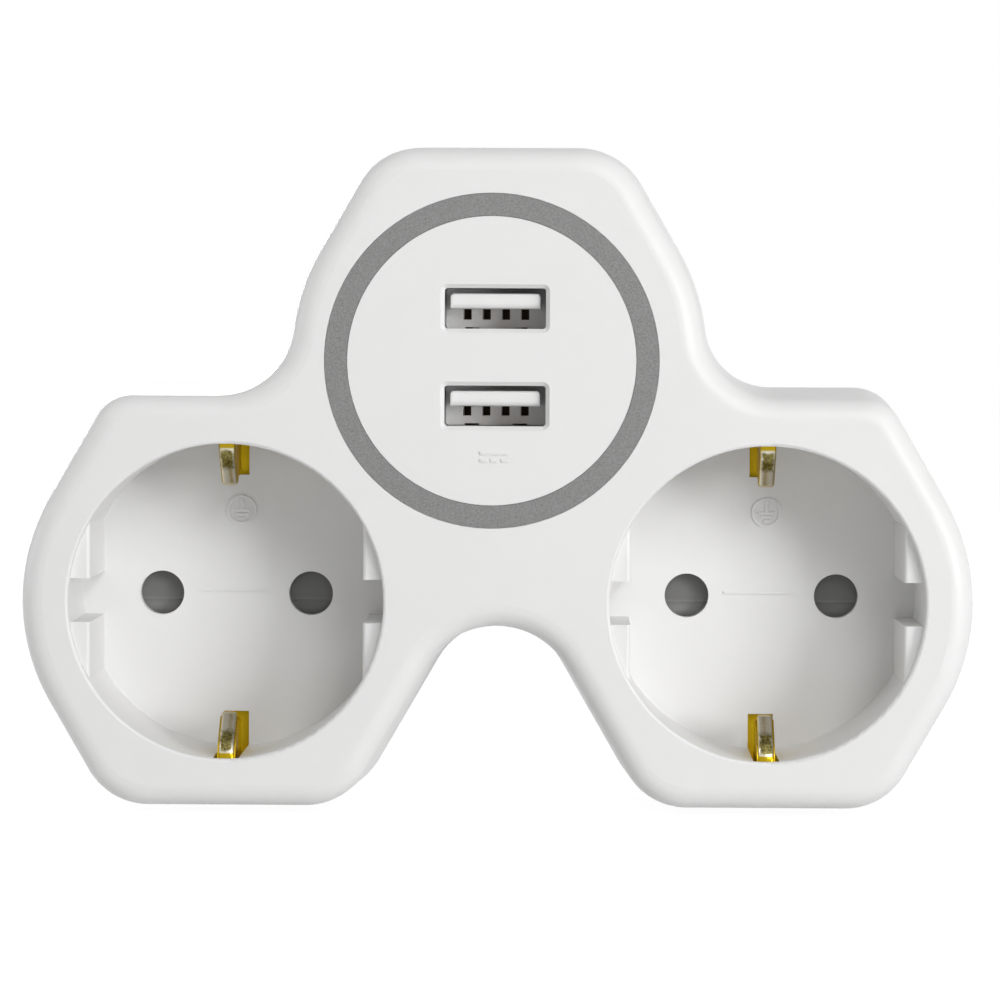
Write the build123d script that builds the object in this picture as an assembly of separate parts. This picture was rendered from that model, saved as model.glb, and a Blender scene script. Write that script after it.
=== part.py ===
from build123d import *
from math import cos, radians, sin, sqrt, tan
import os

# Double socket adapter: two earthed sockets and two USB ports in front, one plug behind.
# Sizes are in millimetres and angles in degrees.
# X is to the right and Z is up as seen from the front, and Y runs into the body.

# Outline of the body at its parting line, seen from the front
socket_spacing = 66.9
top_lobe_rise = 30.6
lobe_radius = 26.5
lobe_side_slope = 30.0
lobe_corner_radius = 9.4
outer_corner_radius = 5.8
shoulder_radius = 8.3
arch_radius = 9.0

# Depths of the body, counted from its front face
parting_depth = 24.0
body_depth = 40.0
front_draft = 2.9
back_draft = 3.0
front_edge_radius = 2.8
back_edge_radius = 2.4
wall = 2.2
lip_height = 2.0
lip_thickness = 1.0
lip_gap = 0.25
parting_chamfer = 0.2

# Socket wells
well_radius = 19.5
well_depth = 17.5
cup_wall = 1.8
well_rim_radius = 0.4
pin_pitch = 19.0
pin_hole_radius = 2.8
guide_depth = 2.6
guide_height = 19.2
guide_gap = 5.4
guide_set_back = 1.5
guide_edge_radius = 0.5
earth_slot_width = 3.2
earth_slot_reach = 4.4
earth_slot_sink = 2.7
earth_slot_lip = 0.9

# Shutters behind the pin holes
shutter_gap = 0.3
shutter_thickness = 2.0
shutter_length = 25.4
shutter_height = 7.0
shutter_travel = 6.6
shutter_ramp = 1.3
pocket_width = 3.0
pocket_floor = 2.4
spring_radius = 0.85
spring_wire = 0.3
spring_turns = 9
retainer_thickness = 1.5
retainer_width = 29.4
retainer_gap = 0.7
rail_width = 1.6
retainer_post_x = 8.0
retainer_post_inset = 3.6
retainer_post_radius = 2.1

# Sheet brass parts
sheet = 0.8
bend_radius = 0.8
earth_strap_width = 8.0
earth_clip_width = 2.0
earth_clip_reach = 5.1
earth_clip_bend = 0.6
earth_clip_nose_depth = 7.0
earth_cheek_depth = 7.0
earth_cheek_sheet = 0.5
earth_strap_gap = 1.2
stake_inset = 1.9
stake_x = 2.6
stake_radius = 0.7
bridge_height = 3.6
bridge_inset = 3.7
busbar_height = 4.0
busbar_z = 6.0
busbar_arm_width = 4.0
busbar_eye_radius = 3.6
busbar_inset = 2.4
tulip_gap = 2.6
tulip_set_back = 4.0
tulip_radius = 3.1
tulip_slit = 1.2

# Plug on the back
plug_z = 18.5
plug_radius = 18.6
plug_length = 17.3
plug_side_offset = 16.4
plug_rib_height = 4.6
plug_wall = 2.6
plug_face_thickness = 4.0
plug_edge_radius = 0.8
plug_pin_radius = 2.4
plug_pin_length = 19.0
plug_pin_tip_radius = 1.6
plug_pin_root_radius = 2.6
plug_pin_collar_radius = 3.6
plug_pin_stem_radius = 2.0
plug_earth_width = 4.0
plug_earth_set_back = 2.0
plug_earth_hole_rise = 10.0
plug_earth_hole_radius = 2.6

# USB ports and the ring round them
usb_x = -0.3
usb_z = 30.3
usb_pitch = 12.0
usb_width = 12.5
usb_height = 5.0
usb_corner_radius = 0.4
usb_bevel = 0.5
usb_shell_wall = 0.35
tongue_width = 11.1
tongue_height = 1.9
tongue_drop = 0.65
tongue_set_back = 1.6
tongue_length = 7.0
tongue_corner_radius = 0.45
tongue_chamfer = 0.4
insulator_thickness = 2.5
contact_pitch = 2.4
contact_width = 1.0
contact_sheet = 0.25
contact_set_back = 1.2
contact_window_height = 1.3
notch_x = 3.0
notch_width = 1.8
notch_height = 0.2
ring_x = -0.7
ring_z = 29.85
ring_outer_radius = 20.65
ring_width = 2.85
ring_thickness = 1.0

# Charger board
board_front = 16.4
board_thickness = 1.6
board_width = 34.0
board_bottom = 17.0
board_top = 46.0
board_post_x = 12.5
board_post_z = 30.0
board_post_radius = 2.4

# Parts on the charger board
core_place = (-6.5, 37.5)
core_width = 13.0
core_height = 12.0
core_thickness = 6.0
core_rise = 2.5
core_leg_width = 3.0
core_window_width = 3.2
core_window_height = 7.0
coil_gap = 0.1
input_capacitor_place = (8.0, 39.5)
input_capacitor_radius = 4.0
input_capacitor_height = 12.0
output_capacitor_place = (6.0, 24.2)
output_capacitor_radius = 3.15
output_capacitor_height = 9.0
capacitor_edge_radius = 0.5
chip_place = (-9.0, 25.0)
chip_width = 5.0
chip_height = 4.0
chip_thickness = 1.6
resistor_place = (-8.0, 20.0)
resistor_radius = 1.6
resistor_length = 8.0

# Screws
housing_screw_places = [(-45.4, -20.6), (45.4, -20.6), (-11.5, 50.0), (11.5, 50.0)]
housing_boss_radius = 3.0
housing_sleeve_radius = 4.3
housing_screw_radius = 1.5
housing_head_radius = 2.8
housing_screw_front = 10.0
housing_head_height = 2.0
housing_screw_sink = 9.0
drive_length = 3.2
drive_width = 0.8
drive_depth = 1.0
small_screw_radius = 0.9
small_head_radius = 1.7
small_head_height = 1.2
board_screw_length = 8.0
retainer_screw_length = 4.0

# Raised marks
mark_height = 0.25
fine_mark_height = 0.15
mark_width = 0.35

# Sizes that follow from the ones above
socket_x = socket_spacing / 2
socket_places = {"left": -socket_x, "right": socket_x}
pin_x = pin_pitch / 2
floor_back = well_depth + cup_wall
guide_offset = well_radius - guide_depth
earth_slot_start = well_radius - earth_slot_reach
earth_slot_end = well_radius + earth_slot_sink
earth_clip_nose = well_radius - earth_clip_reach
stake_z = well_radius - stake_inset
bridge_z = earth_slot_start - bridge_inset
retainer_height = 2 * (earth_slot_start - 1.5 * sheet - retainer_gap)
retainer_post_z = retainer_post_inset - retainer_height / 2
ring_inner_radius = ring_outer_radius - ring_width
plug_back = body_depth + plug_length
total_depth = mark_height + plug_back + plug_pin_length
face_y = mark_height - total_depth / 2
socket_z = lobe_radius
shutter_front = floor_back + shutter_gap
retainer_front = shutter_front + shutter_thickness + shutter_gap
retainer_back = retainer_front + retainer_thickness
earth_strap_back = retainer_back + earth_strap_gap + sheet / 2
tulip_front = retainer_back + tulip_gap
tulip_back = body_depth - tulip_set_back
neutral_depth = tulip_front + busbar_inset
live_depth = tulip_back - busbar_inset
plug_earth_depth = body_depth + plug_earth_set_back
housing_seat_depth = body_depth - housing_screw_sink
board_back = board_front + board_thickness
insulator_front = tongue_set_back + tongue_length
usb_places = {"upper": usb_z + usb_pitch / 2, "lower": usb_z - usb_pitch / 2}
inner_back = body_depth - wall


def at_depth(depth):
    """Sketch plane that faces the front, this far behind the front face."""
    return Plane(origin=(0, face_y + depth, socket_z), x_dir=(1, 0, 0), z_dir=(0, -1, 0))


def from_behind(depth):
    """Sketch plane that faces the back, this far behind the front face."""
    return Plane(origin=(0, face_y + depth, socket_z), x_dir=(-1, 0, 0), z_dir=(0, 1, 0))


def side_view(x, z):
    """Sketch plane seen from the right, with depth across and height up from this z."""
    return Plane(origin=(x, face_y, socket_z + z), x_dir=(0, 1, 0), z_dir=(1, 0, 0))


def block(sketch, front, back):
    """Straight block between two depths with this front view."""
    return extrude(at_depth(back) * sketch, back - front)


def at_points(shape, points):
    """The same sketch at several points."""
    return Sketch() + [Pos(x, z) * shape for x, z in points]


def both_sides(x, z=0):
    """The points at plus and minus x."""
    return [(-x, z), (x, z)]


def rectangle_between(left, right, bottom, top):
    """Rectangle with these four sides."""
    return Pos((left + right) / 2, (bottom + top) / 2) * Rectangle(right - left, top - bottom)


def formed_strip(points, width, x, z=0):
    """Sheet strip bent along a side view path of (depth, height) points."""
    path = FilletPolyline(*points, radius=bend_radius)
    section = make_face(offset(path, sheet / 2, side=Side.BOTH))
    return extrude(side_view(x, z) * section, width / 2, both=True)


def lobe(radius, top_corner_radius, bottom_corner_radius):
    """Flat-topped hexagon whose two side corners follow its inner circle."""
    hexagon = RegularPolygon(radius, 6, major_radius=False)
    shape = fillet(hexagon.vertices().group_by(Axis.Y)[-1], top_corner_radius)
    shape = fillet(shape.vertices().group_by(Axis.Y)[0], bottom_corner_radius)
    across = shape.vertices().sort_by(Axis.X)
    return fillet([across[0], across[-1]], radius)


def body_outline(inset=0.0):
    """Three-lobed outline, this far inside the one at the parting line."""
    radius = lobe_radius - inset
    slope = radians(lobe_side_slope)
    peak = (socket_x * cos(slope) - radius) / sin(slope)
    side_x = socket_x - radius * cos(slope) + 2 * sin(slope)
    side_z = -radius * sin(slope) - 2 * cos(slope)
    spread = (peak + lobe_radius) * tan(slope)
    notch = Polygon((0, peak), (-spread, -lobe_radius), (spread, -lobe_radius), align=None)
    notch = fillet(notch.vertices().sort_by(Axis.Y)[-1], arch_radius + inset)
    web = Polygon(
        (-side_x, side_z),
        (side_x, side_z),
        (socket_x, 0),
        (socket_x, radius),
        (-socket_x, radius),
        (-socket_x, 0),
        align=None,
    )
    corner_radius = lobe_corner_radius - inset
    lower_lobe = lobe(radius, outer_corner_radius - inset, corner_radius)
    top_lobe = Pos(0, top_lobe_rise) * lobe(radius, corner_radius, corner_radius)
    shape = at_points(lower_lobe, both_sides(socket_x)) + top_lobe + (web - notch)
    shoulder_x = sqrt(radius**2 - (top_lobe_rise - radius) ** 2)
    for x, z in both_sides(shoulder_x, radius):
        shoulder = shape.vertices().sort_by_distance((x, z))[0]
        shape = fillet(shoulder, shoulder_radius + inset)
    return shape


def front_shell():
    """Hollow front moulding with its rounded front edge."""
    outer = extrude(at_depth(parting_depth) * body_outline(), parting_depth, taper=front_draft)
    outer = fillet(outer.faces().sort_by(Axis.Y)[0].edges(), front_edge_radius)
    outer = chamfer(outer.faces().sort_by(Axis.Y)[-1].edges(), parting_chamfer)
    hollow = extrude(
        at_depth(parting_depth) * body_outline(wall), parting_depth - wall, taper=front_draft
    )
    return outer - hollow


def socket_guides():
    """Front view of the four guide blocks at the sides of one well, as one sketch."""
    beyond = Circle(well_radius + cup_wall / 2)
    inner = Rectangle(2 * guide_offset, 2 * guide_height)
    height = Rectangle(3 * well_radius, guide_height)
    gap = Rectangle(3 * well_radius, guide_gap)
    return (beyond - inner - gap) & height


def earth_symbol(radius):
    """Earth sign in a circle, drawn with lines of one width."""
    circle = Circle(radius) - Circle(radius - mark_width)
    sign = Pos(0, radius * 0.35) * Rectangle(mark_width, radius * 0.9)
    for step, length in enumerate((1.1, 0.75, 0.4)):
        sign += Pos(0, -radius * (0.05 + 0.26 * step)) * Rectangle(radius * length, mark_width)
    return circle + sign


def raised_mark(sketch, height, depth):
    """Mark that stands this high on the face at this depth."""
    return block(sketch, depth - height, depth + 0.1)


def direct_current_sign():
    """Raised direct current sign below the ports: a line over three dashes."""
    dashes = at_points(Rectangle(0.9, mark_width), [(-1.3, -0.9), (0, -0.9), (1.3, -0.9)])
    return dashes + Rectangle(3.5, mark_width)


def add_sockets(cover):
    """Give the cover its two wells, with guides, pin holes, earth slots and marks."""
    centres = both_sides(socket_x)
    pins = [(x + side, 0) for x, _ in centres for side in (-pin_x, pin_x)]
    cover += block(at_points(Circle(well_radius + cup_wall), centres), wall / 2, floor_back)
    cover -= block(at_points(Circle(well_radius), centres), 0, well_depth)
    rims = cover.faces().sort_by(Axis.Y)[0].edges().filter_by(GeomType.CIRCLE)
    cover = fillet([e for e in rims if abs(e.radius - well_radius) < 0.01], well_rim_radius)
    guides = block(at_points(socket_guides(), centres), guide_set_back, floor_back)
    front_edges = guides.faces().group_by(Axis.Y)[0].edges().filter_by(Axis.Z)
    cover += fillet(front_edges, guide_edge_radius)
    cover -= block(at_points(Circle(pin_hole_radius), pins), well_depth - 1, floor_back + 1)
    slot = rectangle_between(
        -earth_slot_width / 2, earth_slot_width / 2, earth_slot_start, earth_slot_end
    )
    slots = slot + mirror(slot, Plane.XZ)
    cover -= block(at_points(slots, centres), earth_slot_lip, floor_back + 1)
    signs = [(x + 0.6, 10.6) for x, _ in centres]
    line = Pos(-0.5, 0.4) * Rectangle(8.6, mark_width)
    cover += raised_mark(at_points(earth_symbol(1.9), signs), mark_height, well_depth)
    return cover + raised_mark(at_points(line, centres), fine_mark_height, well_depth)


def add_usb_face(cover):
    """Cut the two port windows and the groove for the ring, and add the mark below them."""
    window = RectangleRounded(usb_width, usb_height, usb_corner_radius)
    places = [(usb_x, z) for z in usb_places.values()]
    cover -= block(at_points(window, places), -1, wall + 1)
    bevel = offset(window, usb_bevel)
    for x, z in places:
        cover -= loft(
            [at_depth(0) * Pos(x, z) * bevel, at_depth(usb_bevel) * Pos(x, z) * window]
        )
    groove = Pos(ring_x, ring_z) * (Circle(ring_outer_radius) - Circle(ring_inner_radius))
    cover -= block(groove, -1, ring_thickness)
    return cover + raised_mark(Pos(usb_x, usb_z - 11.8) * direct_current_sign(), mark_height, 0)


def add_front_posts(cover):
    """Add the posts that take the housing screws, board screws and retainer screws."""
    bosses = at_points(Circle(housing_boss_radius), housing_screw_places)
    pilots = at_points(Circle(housing_screw_radius), housing_screw_places)
    cover += block(bosses, wall, parting_depth)
    cover -= block(pilots, housing_screw_front, parting_depth)
    board_posts = both_sides(board_post_x, board_post_z)
    pilot = board_front - board_screw_length
    cover += block(at_points(Circle(board_post_radius), board_posts), wall, board_front)
    cover -= block(at_points(Circle(small_screw_radius), board_posts), pilot, board_front)
    posts = retainer_screw_places()
    cover += block(at_points(Circle(retainer_post_radius), posts), floor_back, retainer_front)
    cover -= block(at_points(Circle(small_screw_radius), posts), floor_back, retainer_front)
    return cover + block(at_points(Circle(stake_radius), stake_places()), floor_back, floor_back + 1.2)


def retainer_screw_places():
    """Where the screws of both shutter retainers go."""
    return [
        (centre + side, retainer_post_z)
        for centre in socket_places.values()
        for side in (-retainer_post_x, retainer_post_x)
    ]


def stake_places():
    """Where plastic stakes pass through the feet of both earth straps."""
    return [
        (centre + x, z)
        for centre in socket_places.values()
        for x in (-stake_x, stake_x)
        for z in (-stake_z, stake_z)
    ]


def front_cover():
    """White front moulding with the sockets and port windows."""
    return add_front_posts(add_usb_face(add_sockets(front_shell())))


def plug_outline(radius, side_offset, rib_height):
    """Front view of the plug: a circle with flat sides and a rib on each."""
    flats = Circle(radius) & Rectangle(2 * side_offset, 2 * radius)
    ribs = Circle(radius) & Rectangle(2 * radius, rib_height)
    return Pos(0, plug_z) * (flats + ribs)


def back_shell():
    """Hollow back moulding with the plug, before its holes and posts."""
    outer = extrude(
        from_behind(parting_depth) * body_outline(), body_depth - parting_depth, taper=back_draft
    )
    outer = fillet(outer.faces().sort_by(Axis.Y)[-1].edges(), back_edge_radius)
    outer = chamfer(outer.faces().sort_by(Axis.Y)[0].edges(), parting_chamfer)
    boss = block(plug_outline(plug_radius, plug_side_offset, plug_rib_height), inner_back, plug_back)
    boss = fillet(boss.faces().sort_by(Axis.Y)[-1].edges(), plug_edge_radius)
    hollow = extrude(
        from_behind(parting_depth) * body_outline(wall), inner_back - parting_depth, taper=back_draft
    )
    core = plug_outline(plug_radius - plug_wall, plug_side_offset - plug_wall, 0.1)
    return outer + boss - hollow - block(core, inner_back, plug_back - plug_face_thickness)


def joint_lip():
    """Thin lip that reaches inside the front cover, clear of its screw posts."""
    outside = body_outline(wall + lip_gap)
    ring = outside - body_outline(wall + lip_gap + lip_thickness)
    lip = block(ring, parting_depth - lip_height, parting_depth + wall)
    clear = at_points(Circle(housing_boss_radius + lip_gap), housing_screw_places)
    return lip - block(clear, parting_depth - lip_height, parting_depth)


def back_posts():
    """Posts for the housing screws and pockets for the ends of the pin contacts."""
    sleeves = block(
        at_points(Circle(housing_sleeve_radius), housing_screw_places), parting_depth, body_depth - 1
    )
    pockets = block(
        at_points(Circle(tulip_radius + 1.3), tulip_places()), tulip_back - 1.2, inner_back + 0.5
    )
    return sleeves + pockets


def tulip_places():
    """Where the four pin contacts stand."""
    return [(x + side, 0) for x in socket_places.values() for side in (-pin_x, pin_x)]


def back_cover():
    """White back moulding with the plug body."""
    cover = back_shell() + joint_lip() + back_posts()
    heads = at_points(Circle(housing_head_radius + 0.2), housing_screw_places)
    shanks = at_points(Circle(housing_screw_radius + 0.1), housing_screw_places)
    cover -= block(heads, housing_seat_depth, body_depth + 1)
    cover -= block(shanks, parting_depth - 1, housing_seat_depth)
    cover -= block(at_points(Circle(tulip_radius + 0.15), tulip_places()), tulip_back - 2, inner_back)
    pins = at_points(Circle(plug_pin_root_radius), both_sides(pin_x, plug_z))
    cover -= block(pins, plug_back - plug_face_thickness, plug_back)
    hole = Pos(0, plug_z + plug_earth_hole_rise) * Circle(plug_earth_hole_radius)
    cover -= block(hole, plug_back - plug_face_thickness, plug_back)
    groove = Rectangle(plug_earth_width + 0.6, 2 * plug_radius + 2)
    keep = Rectangle(plug_earth_width + 0.6, 2 * (plug_radius - 1.4))
    cover -= block(Pos(0, plug_z) * (groove - keep), plug_earth_depth - 0.5, plug_back - 2)
    through = Pos(0, plug_z) * groove
    return cover - block(through, plug_earth_depth - 0.5, plug_earth_depth + sheet + 0.5)


def accent_ring():
    """Flat grey ring set into the front face round the ports."""
    ring = Circle(ring_outer_radius - 0.05) - Circle(ring_inner_radius + 0.05)
    return block(Pos(ring_x, ring_z) * ring, 0, ring_thickness)


def usb_shell(z):
    """Steel shell of one port, open in front."""
    inside = RectangleRounded(usb_width + 0.1, usb_height + 0.1, usb_corner_radius)
    outside = offset(inside, usb_shell_wall)
    tube = block(Pos(usb_x, z) * outside, wall, board_front)
    return tube - block(Pos(usb_x, z) * inside, wall, board_front - usb_shell_wall)


def contact_places(z):
    """Where the four contacts of a port are, seen from the front."""
    return [(usb_x + (step - 1.5) * contact_pitch, z) for step in range(4)]


def tongue_underside(z):
    """Height of the underside of the tongue in the port at this height."""
    return z + usb_height / 2 - tongue_drop - tongue_height


def usb_insulator(z):
    """White plastic inside of one port: a rear block with the contact tongue on it."""
    underside = tongue_underside(z)
    back = insulator_front + insulator_thickness
    tongue = Pos(usb_x, underside + tongue_height / 2) * Rectangle(tongue_width, tongue_height)
    body = block(tongue, tongue_set_back, insulator_front)
    body = fillet(body.edges().filter_by(Axis.Y).group_by(Axis.Z)[-1], tongue_corner_radius)
    body = chamfer(body.faces().sort_by(Axis.Y)[0].edges().sort_by(Axis.Z)[0], tongue_chamfer)
    base = RectangleRounded(usb_width, usb_height, usb_corner_radius)
    body += block(Pos(usb_x, z) * base, insulator_front, back)
    window = Pos(0, underside - contact_window_height / 2) * Rectangle(
        contact_width, contact_window_height
    )
    body -= block(at_points(window, contact_places(0)), insulator_front, back)
    notches = at_points(Rectangle(notch_width, 2 * notch_height), both_sides(notch_x))
    body -= block(Pos(usb_x, z - usb_height / 2) * notches, insulator_front, back)
    return body - usb_contacts(z)


def usb_contacts(z):
    """Four gold contacts let into the underside of the tongue, with legs down to the board."""
    height = tongue_underside(z) + contact_sheet / 2
    back = board_front - usb_shell_wall
    strip = Rectangle(contact_width, contact_sheet)
    strips = block(
        at_points(strip, contact_places(height)), tongue_set_back + contact_set_back, back
    )
    leg_height = height + contact_sheet / 2 - (z - usb_height / 2)
    leg = Rectangle(contact_width, leg_height)
    middle = z - usb_height / 2 + leg_height / 2
    return strips + block(at_points(leg, contact_places(middle)), back - contact_sheet, back)


def charger_board():
    """Circuit board behind the ports."""
    outline = rectangle_between(-board_width / 2, board_width / 2, board_bottom, board_top)
    holes = at_points(Circle(small_screw_radius + 0.2), both_sides(board_post_x, board_post_z))
    return block(outline - holes, board_front, board_back)


def small_screws(places, seat, length):
    """Round-headed screws that go in from behind, with their heads on this seat."""
    shanks = block(at_points(Circle(small_screw_radius), places), seat - length, seat)
    heads = block(at_points(Circle(small_head_radius), places), seat, seat + small_head_height)
    return shanks + heads


def standing_block(place, width, height, front, back):
    """Block on the board at this place, between two depths behind the board."""
    return block(Pos(*place) * Rectangle(width, height), board_back + front, board_back + back)


def transformer_leg():
    """Middle leg of the core, which the coil is wound round."""
    back = core_rise + core_thickness
    return standing_block(core_place, core_leg_width, core_height, core_rise, back)


def transformer_core():
    """Ferrite core of the transformer, a frame with a middle leg."""
    hollow = core_leg_width + 2 * core_window_width
    back = core_rise + core_thickness
    frame = standing_block(core_place, core_width, core_height, core_rise, back)
    frame -= standing_block(core_place, hollow, core_window_height, core_rise, back)
    return frame + transformer_leg()


def transformer_coil():
    """Wound bobbin on the middle leg of the core, standing on the board."""
    width = core_leg_width + 2 * (core_window_width - coil_gap)
    height = core_window_height - 2 * coil_gap
    coil = standing_block(core_place, width, height, 0, 2 * core_rise + core_thickness)
    return coil - transformer_leg()


def capacitor(place, radius, height):
    """Standing can capacitor on the board."""
    can = block(Pos(*place) * Circle(radius), board_back, board_back + height)
    return fillet(can.faces().sort_by(Axis.Y)[-1].edges(), capacitor_edge_radius)


def controller_chip():
    """Flat chip on the board."""
    return standing_block(chip_place, chip_width, chip_height, 0, chip_thickness)


def fuse_resistor():
    """Lying resistor that works as the input fuse."""
    x, z = resistor_place
    middle = Plane(
        origin=(x, face_y + board_back + resistor_radius, socket_z + z), z_dir=(1, 0, 0)
    )
    return extrude(middle * Circle(resistor_radius), resistor_length / 2, both=True)


def busbar(depth, tulips, plug_pin):
    """Bar of one pole with its two socket contacts and an eye on the plug pin."""
    left, right = tulips
    places = [(left, 0), (right, 0)]
    half = busbar_arm_width / 2
    run = rectangle_between(
        left - half, right + half, busbar_z - busbar_height / 2, busbar_z + busbar_height / 2
    )
    arms = at_points(rectangle_between(-half, half, 0, busbar_z), places)
    riser = Pos(plug_pin, 0) * rectangle_between(-half, half, busbar_z, plug_z)
    eye = Pos(plug_pin, plug_z) * Circle(busbar_eye_radius)
    flat = run + arms + riser + eye - Pos(plug_pin, plug_z) * Circle(plug_pin_stem_radius)
    bore = block(at_points(Circle(tulip_radius - 0.8), places), tulip_front, tulip_back)
    tubes = block(at_points(Circle(tulip_radius), places), tulip_front, tulip_back)
    slits = at_points(Pos(0, -tulip_radius) * Rectangle(tulip_slit, 2 * tulip_radius), places)
    bar = block(flat, depth, depth + sheet) + tubes - bore
    return bar - block(slits, tulip_front, tulip_back)


def live_busbar():
    """Bar from the left pins of both sockets to the left plug pin."""
    return busbar(live_depth, (-socket_x - pin_x, socket_x - pin_x), -pin_x)


def neutral_busbar():
    """Bar from the right pins of both sockets to the right plug pin."""
    return busbar(neutral_depth, (-socket_x + pin_x, socket_x + pin_x), pin_x)


def earth_clip(x):
    """Upper spring clip of one socket, a folded channel with its closed side in front."""
    leg = earth_slot_end - 1.5 * sheet
    band = [
        (earth_slot_lip + sheet, leg),
        (earth_slot_lip + sheet, well_radius - earth_clip_bend),
        (earth_clip_nose_depth, earth_clip_nose + sheet / 2),
    ]
    clip = formed_strip([(floor_back, leg)] + band, earth_clip_width, x)
    cheek_end = earth_clip_nose_depth + earth_cheek_depth
    outline = band + [(cheek_end, earth_slot_start + sheet), (cheek_end, leg)]
    cheek = side_view(x, 0) * Polygon(*outline, align=None)
    cheeks = extrude(cheek, earth_clip_width / 2, both=True)
    return clip + cheeks - extrude(cheek, earth_clip_width / 2 - earth_cheek_sheet, both=True)


def earth_strap(x):
    """Brass strap of one socket: a hat-shaped base and a spring clip at each end."""
    riser = (earth_slot_start - sheet, earth_strap_back + sheet / 2)
    foot_depth = floor_back + sheet / 2
    foot_end = earth_slot_end - sheet
    base = formed_strip(
        [
            (foot_depth, foot_end),
            (foot_depth, riser[0]),
            (riser[1], riser[0]),
            (riser[1], -riser[0]),
            (foot_depth, -riser[0]),
            (foot_depth, -foot_end),
        ],
        earth_strap_width,
        x,
    )
    clip = earth_clip(x)
    strap = base + clip + mirror(clip, Plane.XY.offset(socket_z))
    holes = at_points(Circle(stake_radius), stake_places())
    return strap - block(holes, floor_back - 1, floor_back + 2)


def earth_bridge():
    """Strip that joins both earth straps and reaches back to the strap in the plug."""
    front = earth_strap_back + sheet
    run = Pos(0, bridge_z) * Rectangle(socket_spacing + earth_strap_width, bridge_height)
    touch = plug_earth_depth - sheet / 2
    leg = formed_strip(
        [(front, bridge_z), (touch, bridge_z), (touch, plug_z - 1)], plug_earth_width, 0
    )
    return block(run, front, front + sheet) + leg


def plug_earth_strap():
    """Strap inside the plug with a contact strip above and below and a sleeve for an earth pin."""
    out = plug_radius - 0.4 - sheet / 2
    depth = plug_earth_depth + sheet / 2
    tip = plug_back - 2.4
    strap = formed_strip(
        [(tip, out), (depth, out), (depth, -out), (tip, -out)], plug_earth_width, 0, plug_z
    )
    sleeve = Circle(plug_earth_hole_radius + 0.7) - Circle(plug_earth_hole_radius)
    sleeve = Pos(0, plug_z + plug_earth_hole_rise) * sleeve
    return strap + block(sleeve, plug_earth_depth + sheet, plug_back - plug_face_thickness)


def plug_pin(x, busbar_depth):
    """Turned pin with a collar behind the plug face and a riveted stem."""
    face = plug_back - plug_face_thickness
    place = Pos(x, plug_z)
    tip = plug_back + plug_pin_length
    shank = block(place * Circle(plug_pin_radius), plug_back, tip)
    shank = fillet(shank.faces().sort_by(Axis.Y)[-1].edges(), plug_pin_tip_radius)
    root = block(place * Circle(plug_pin_root_radius), face, plug_back)
    collar = block(place * Circle(plug_pin_collar_radius), face - 2, face)
    stem = block(place * Circle(plug_pin_stem_radius), busbar_depth, face - 2)
    head = block(place * Circle(plug_pin_stem_radius + 0.8), busbar_depth - 0.8, busbar_depth)
    return shank + root + collar + stem + head


def plug_pins():
    """Both pins of the plug."""
    return Part() + [plug_pin(-pin_x, live_depth), plug_pin(pin_x, neutral_depth)]


def shutter(x):
    """Sliding plate that covers both pin holes of one socket, with a ramp and a spring pocket."""
    back = shutter_front + shutter_thickness
    top = shutter_height / 2
    section = Polygon(
        (shutter_front, top),
        (back, top),
        (back, -top),
        (shutter_front + shutter_ramp, -top),
        (shutter_front, 2 * shutter_ramp - top),
        align=None,
    )
    plate = extrude(side_view(x, 0) * section, shutter_length / 2, both=True)
    pocket = rectangle_between(
        -pocket_width / 2, pocket_width / 2, -shutter_height / 2 + pocket_floor, shutter_height
    )
    return plate - block(Pos(x, 0) * pocket, shutter_front, back)


def retainer_stop():
    """Height of the rib that the spring pushes on."""
    return retainer_height / 2 - rail_width


def shutter_spring(x):
    """Coil that pushes one shutter down over its holes."""
    bottom = -shutter_height / 2 + pocket_floor + spring_wire / 2
    height = retainer_stop() - spring_wire / 2 - bottom
    coil = Helix(height / spring_turns, height, spring_radius)
    wire = sweep(Plane(coil @ 0, z_dir=coil % 0) * Circle(spring_wire / 2), path=coil)
    middle = face_y + shutter_front + shutter_thickness / 2
    return Pos(x, middle, socket_z + bottom) * wire


def shutter_retainer(x):
    """Plate behind one shutter, with side rails that guide it and a rib for the spring."""
    plate = RectangleRounded(retainer_width, retainer_height, 3)
    holes = at_points(Circle(pin_hole_radius + 0.4), both_sides(pin_x))
    holes += at_points(Circle(small_screw_radius + 0.1), both_sides(retainer_post_x, retainer_post_z))
    rails = plate - Rectangle(retainer_width - 2 * rail_width, 2 * retainer_height)
    rest = -shutter_height / 2 - 0.1
    ribs = rectangle_between(-4, 4, retainer_stop(), retainer_height / 2)
    ribs += rectangle_between(-4, 4, rest - rail_width, rest)
    body = block(Pos(x, 0) * (plate - holes), retainer_front, retainer_back)
    return body + block(Pos(x, 0) * (rails + ribs), floor_back, retainer_front)


def housing_screws():
    """Four long screws that hold the back cover on the front cover."""
    places = housing_screw_places
    seat = housing_seat_depth
    top = seat + housing_head_height
    shanks = block(at_points(Circle(housing_screw_radius), places), housing_screw_front, seat)
    heads = block(at_points(Circle(housing_head_radius), places), seat, top)
    cross = Rectangle(drive_length, drive_width) + Rectangle(drive_width, drive_length)
    return shanks + heads - block(at_points(cross, places), top - drive_depth, top)


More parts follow.
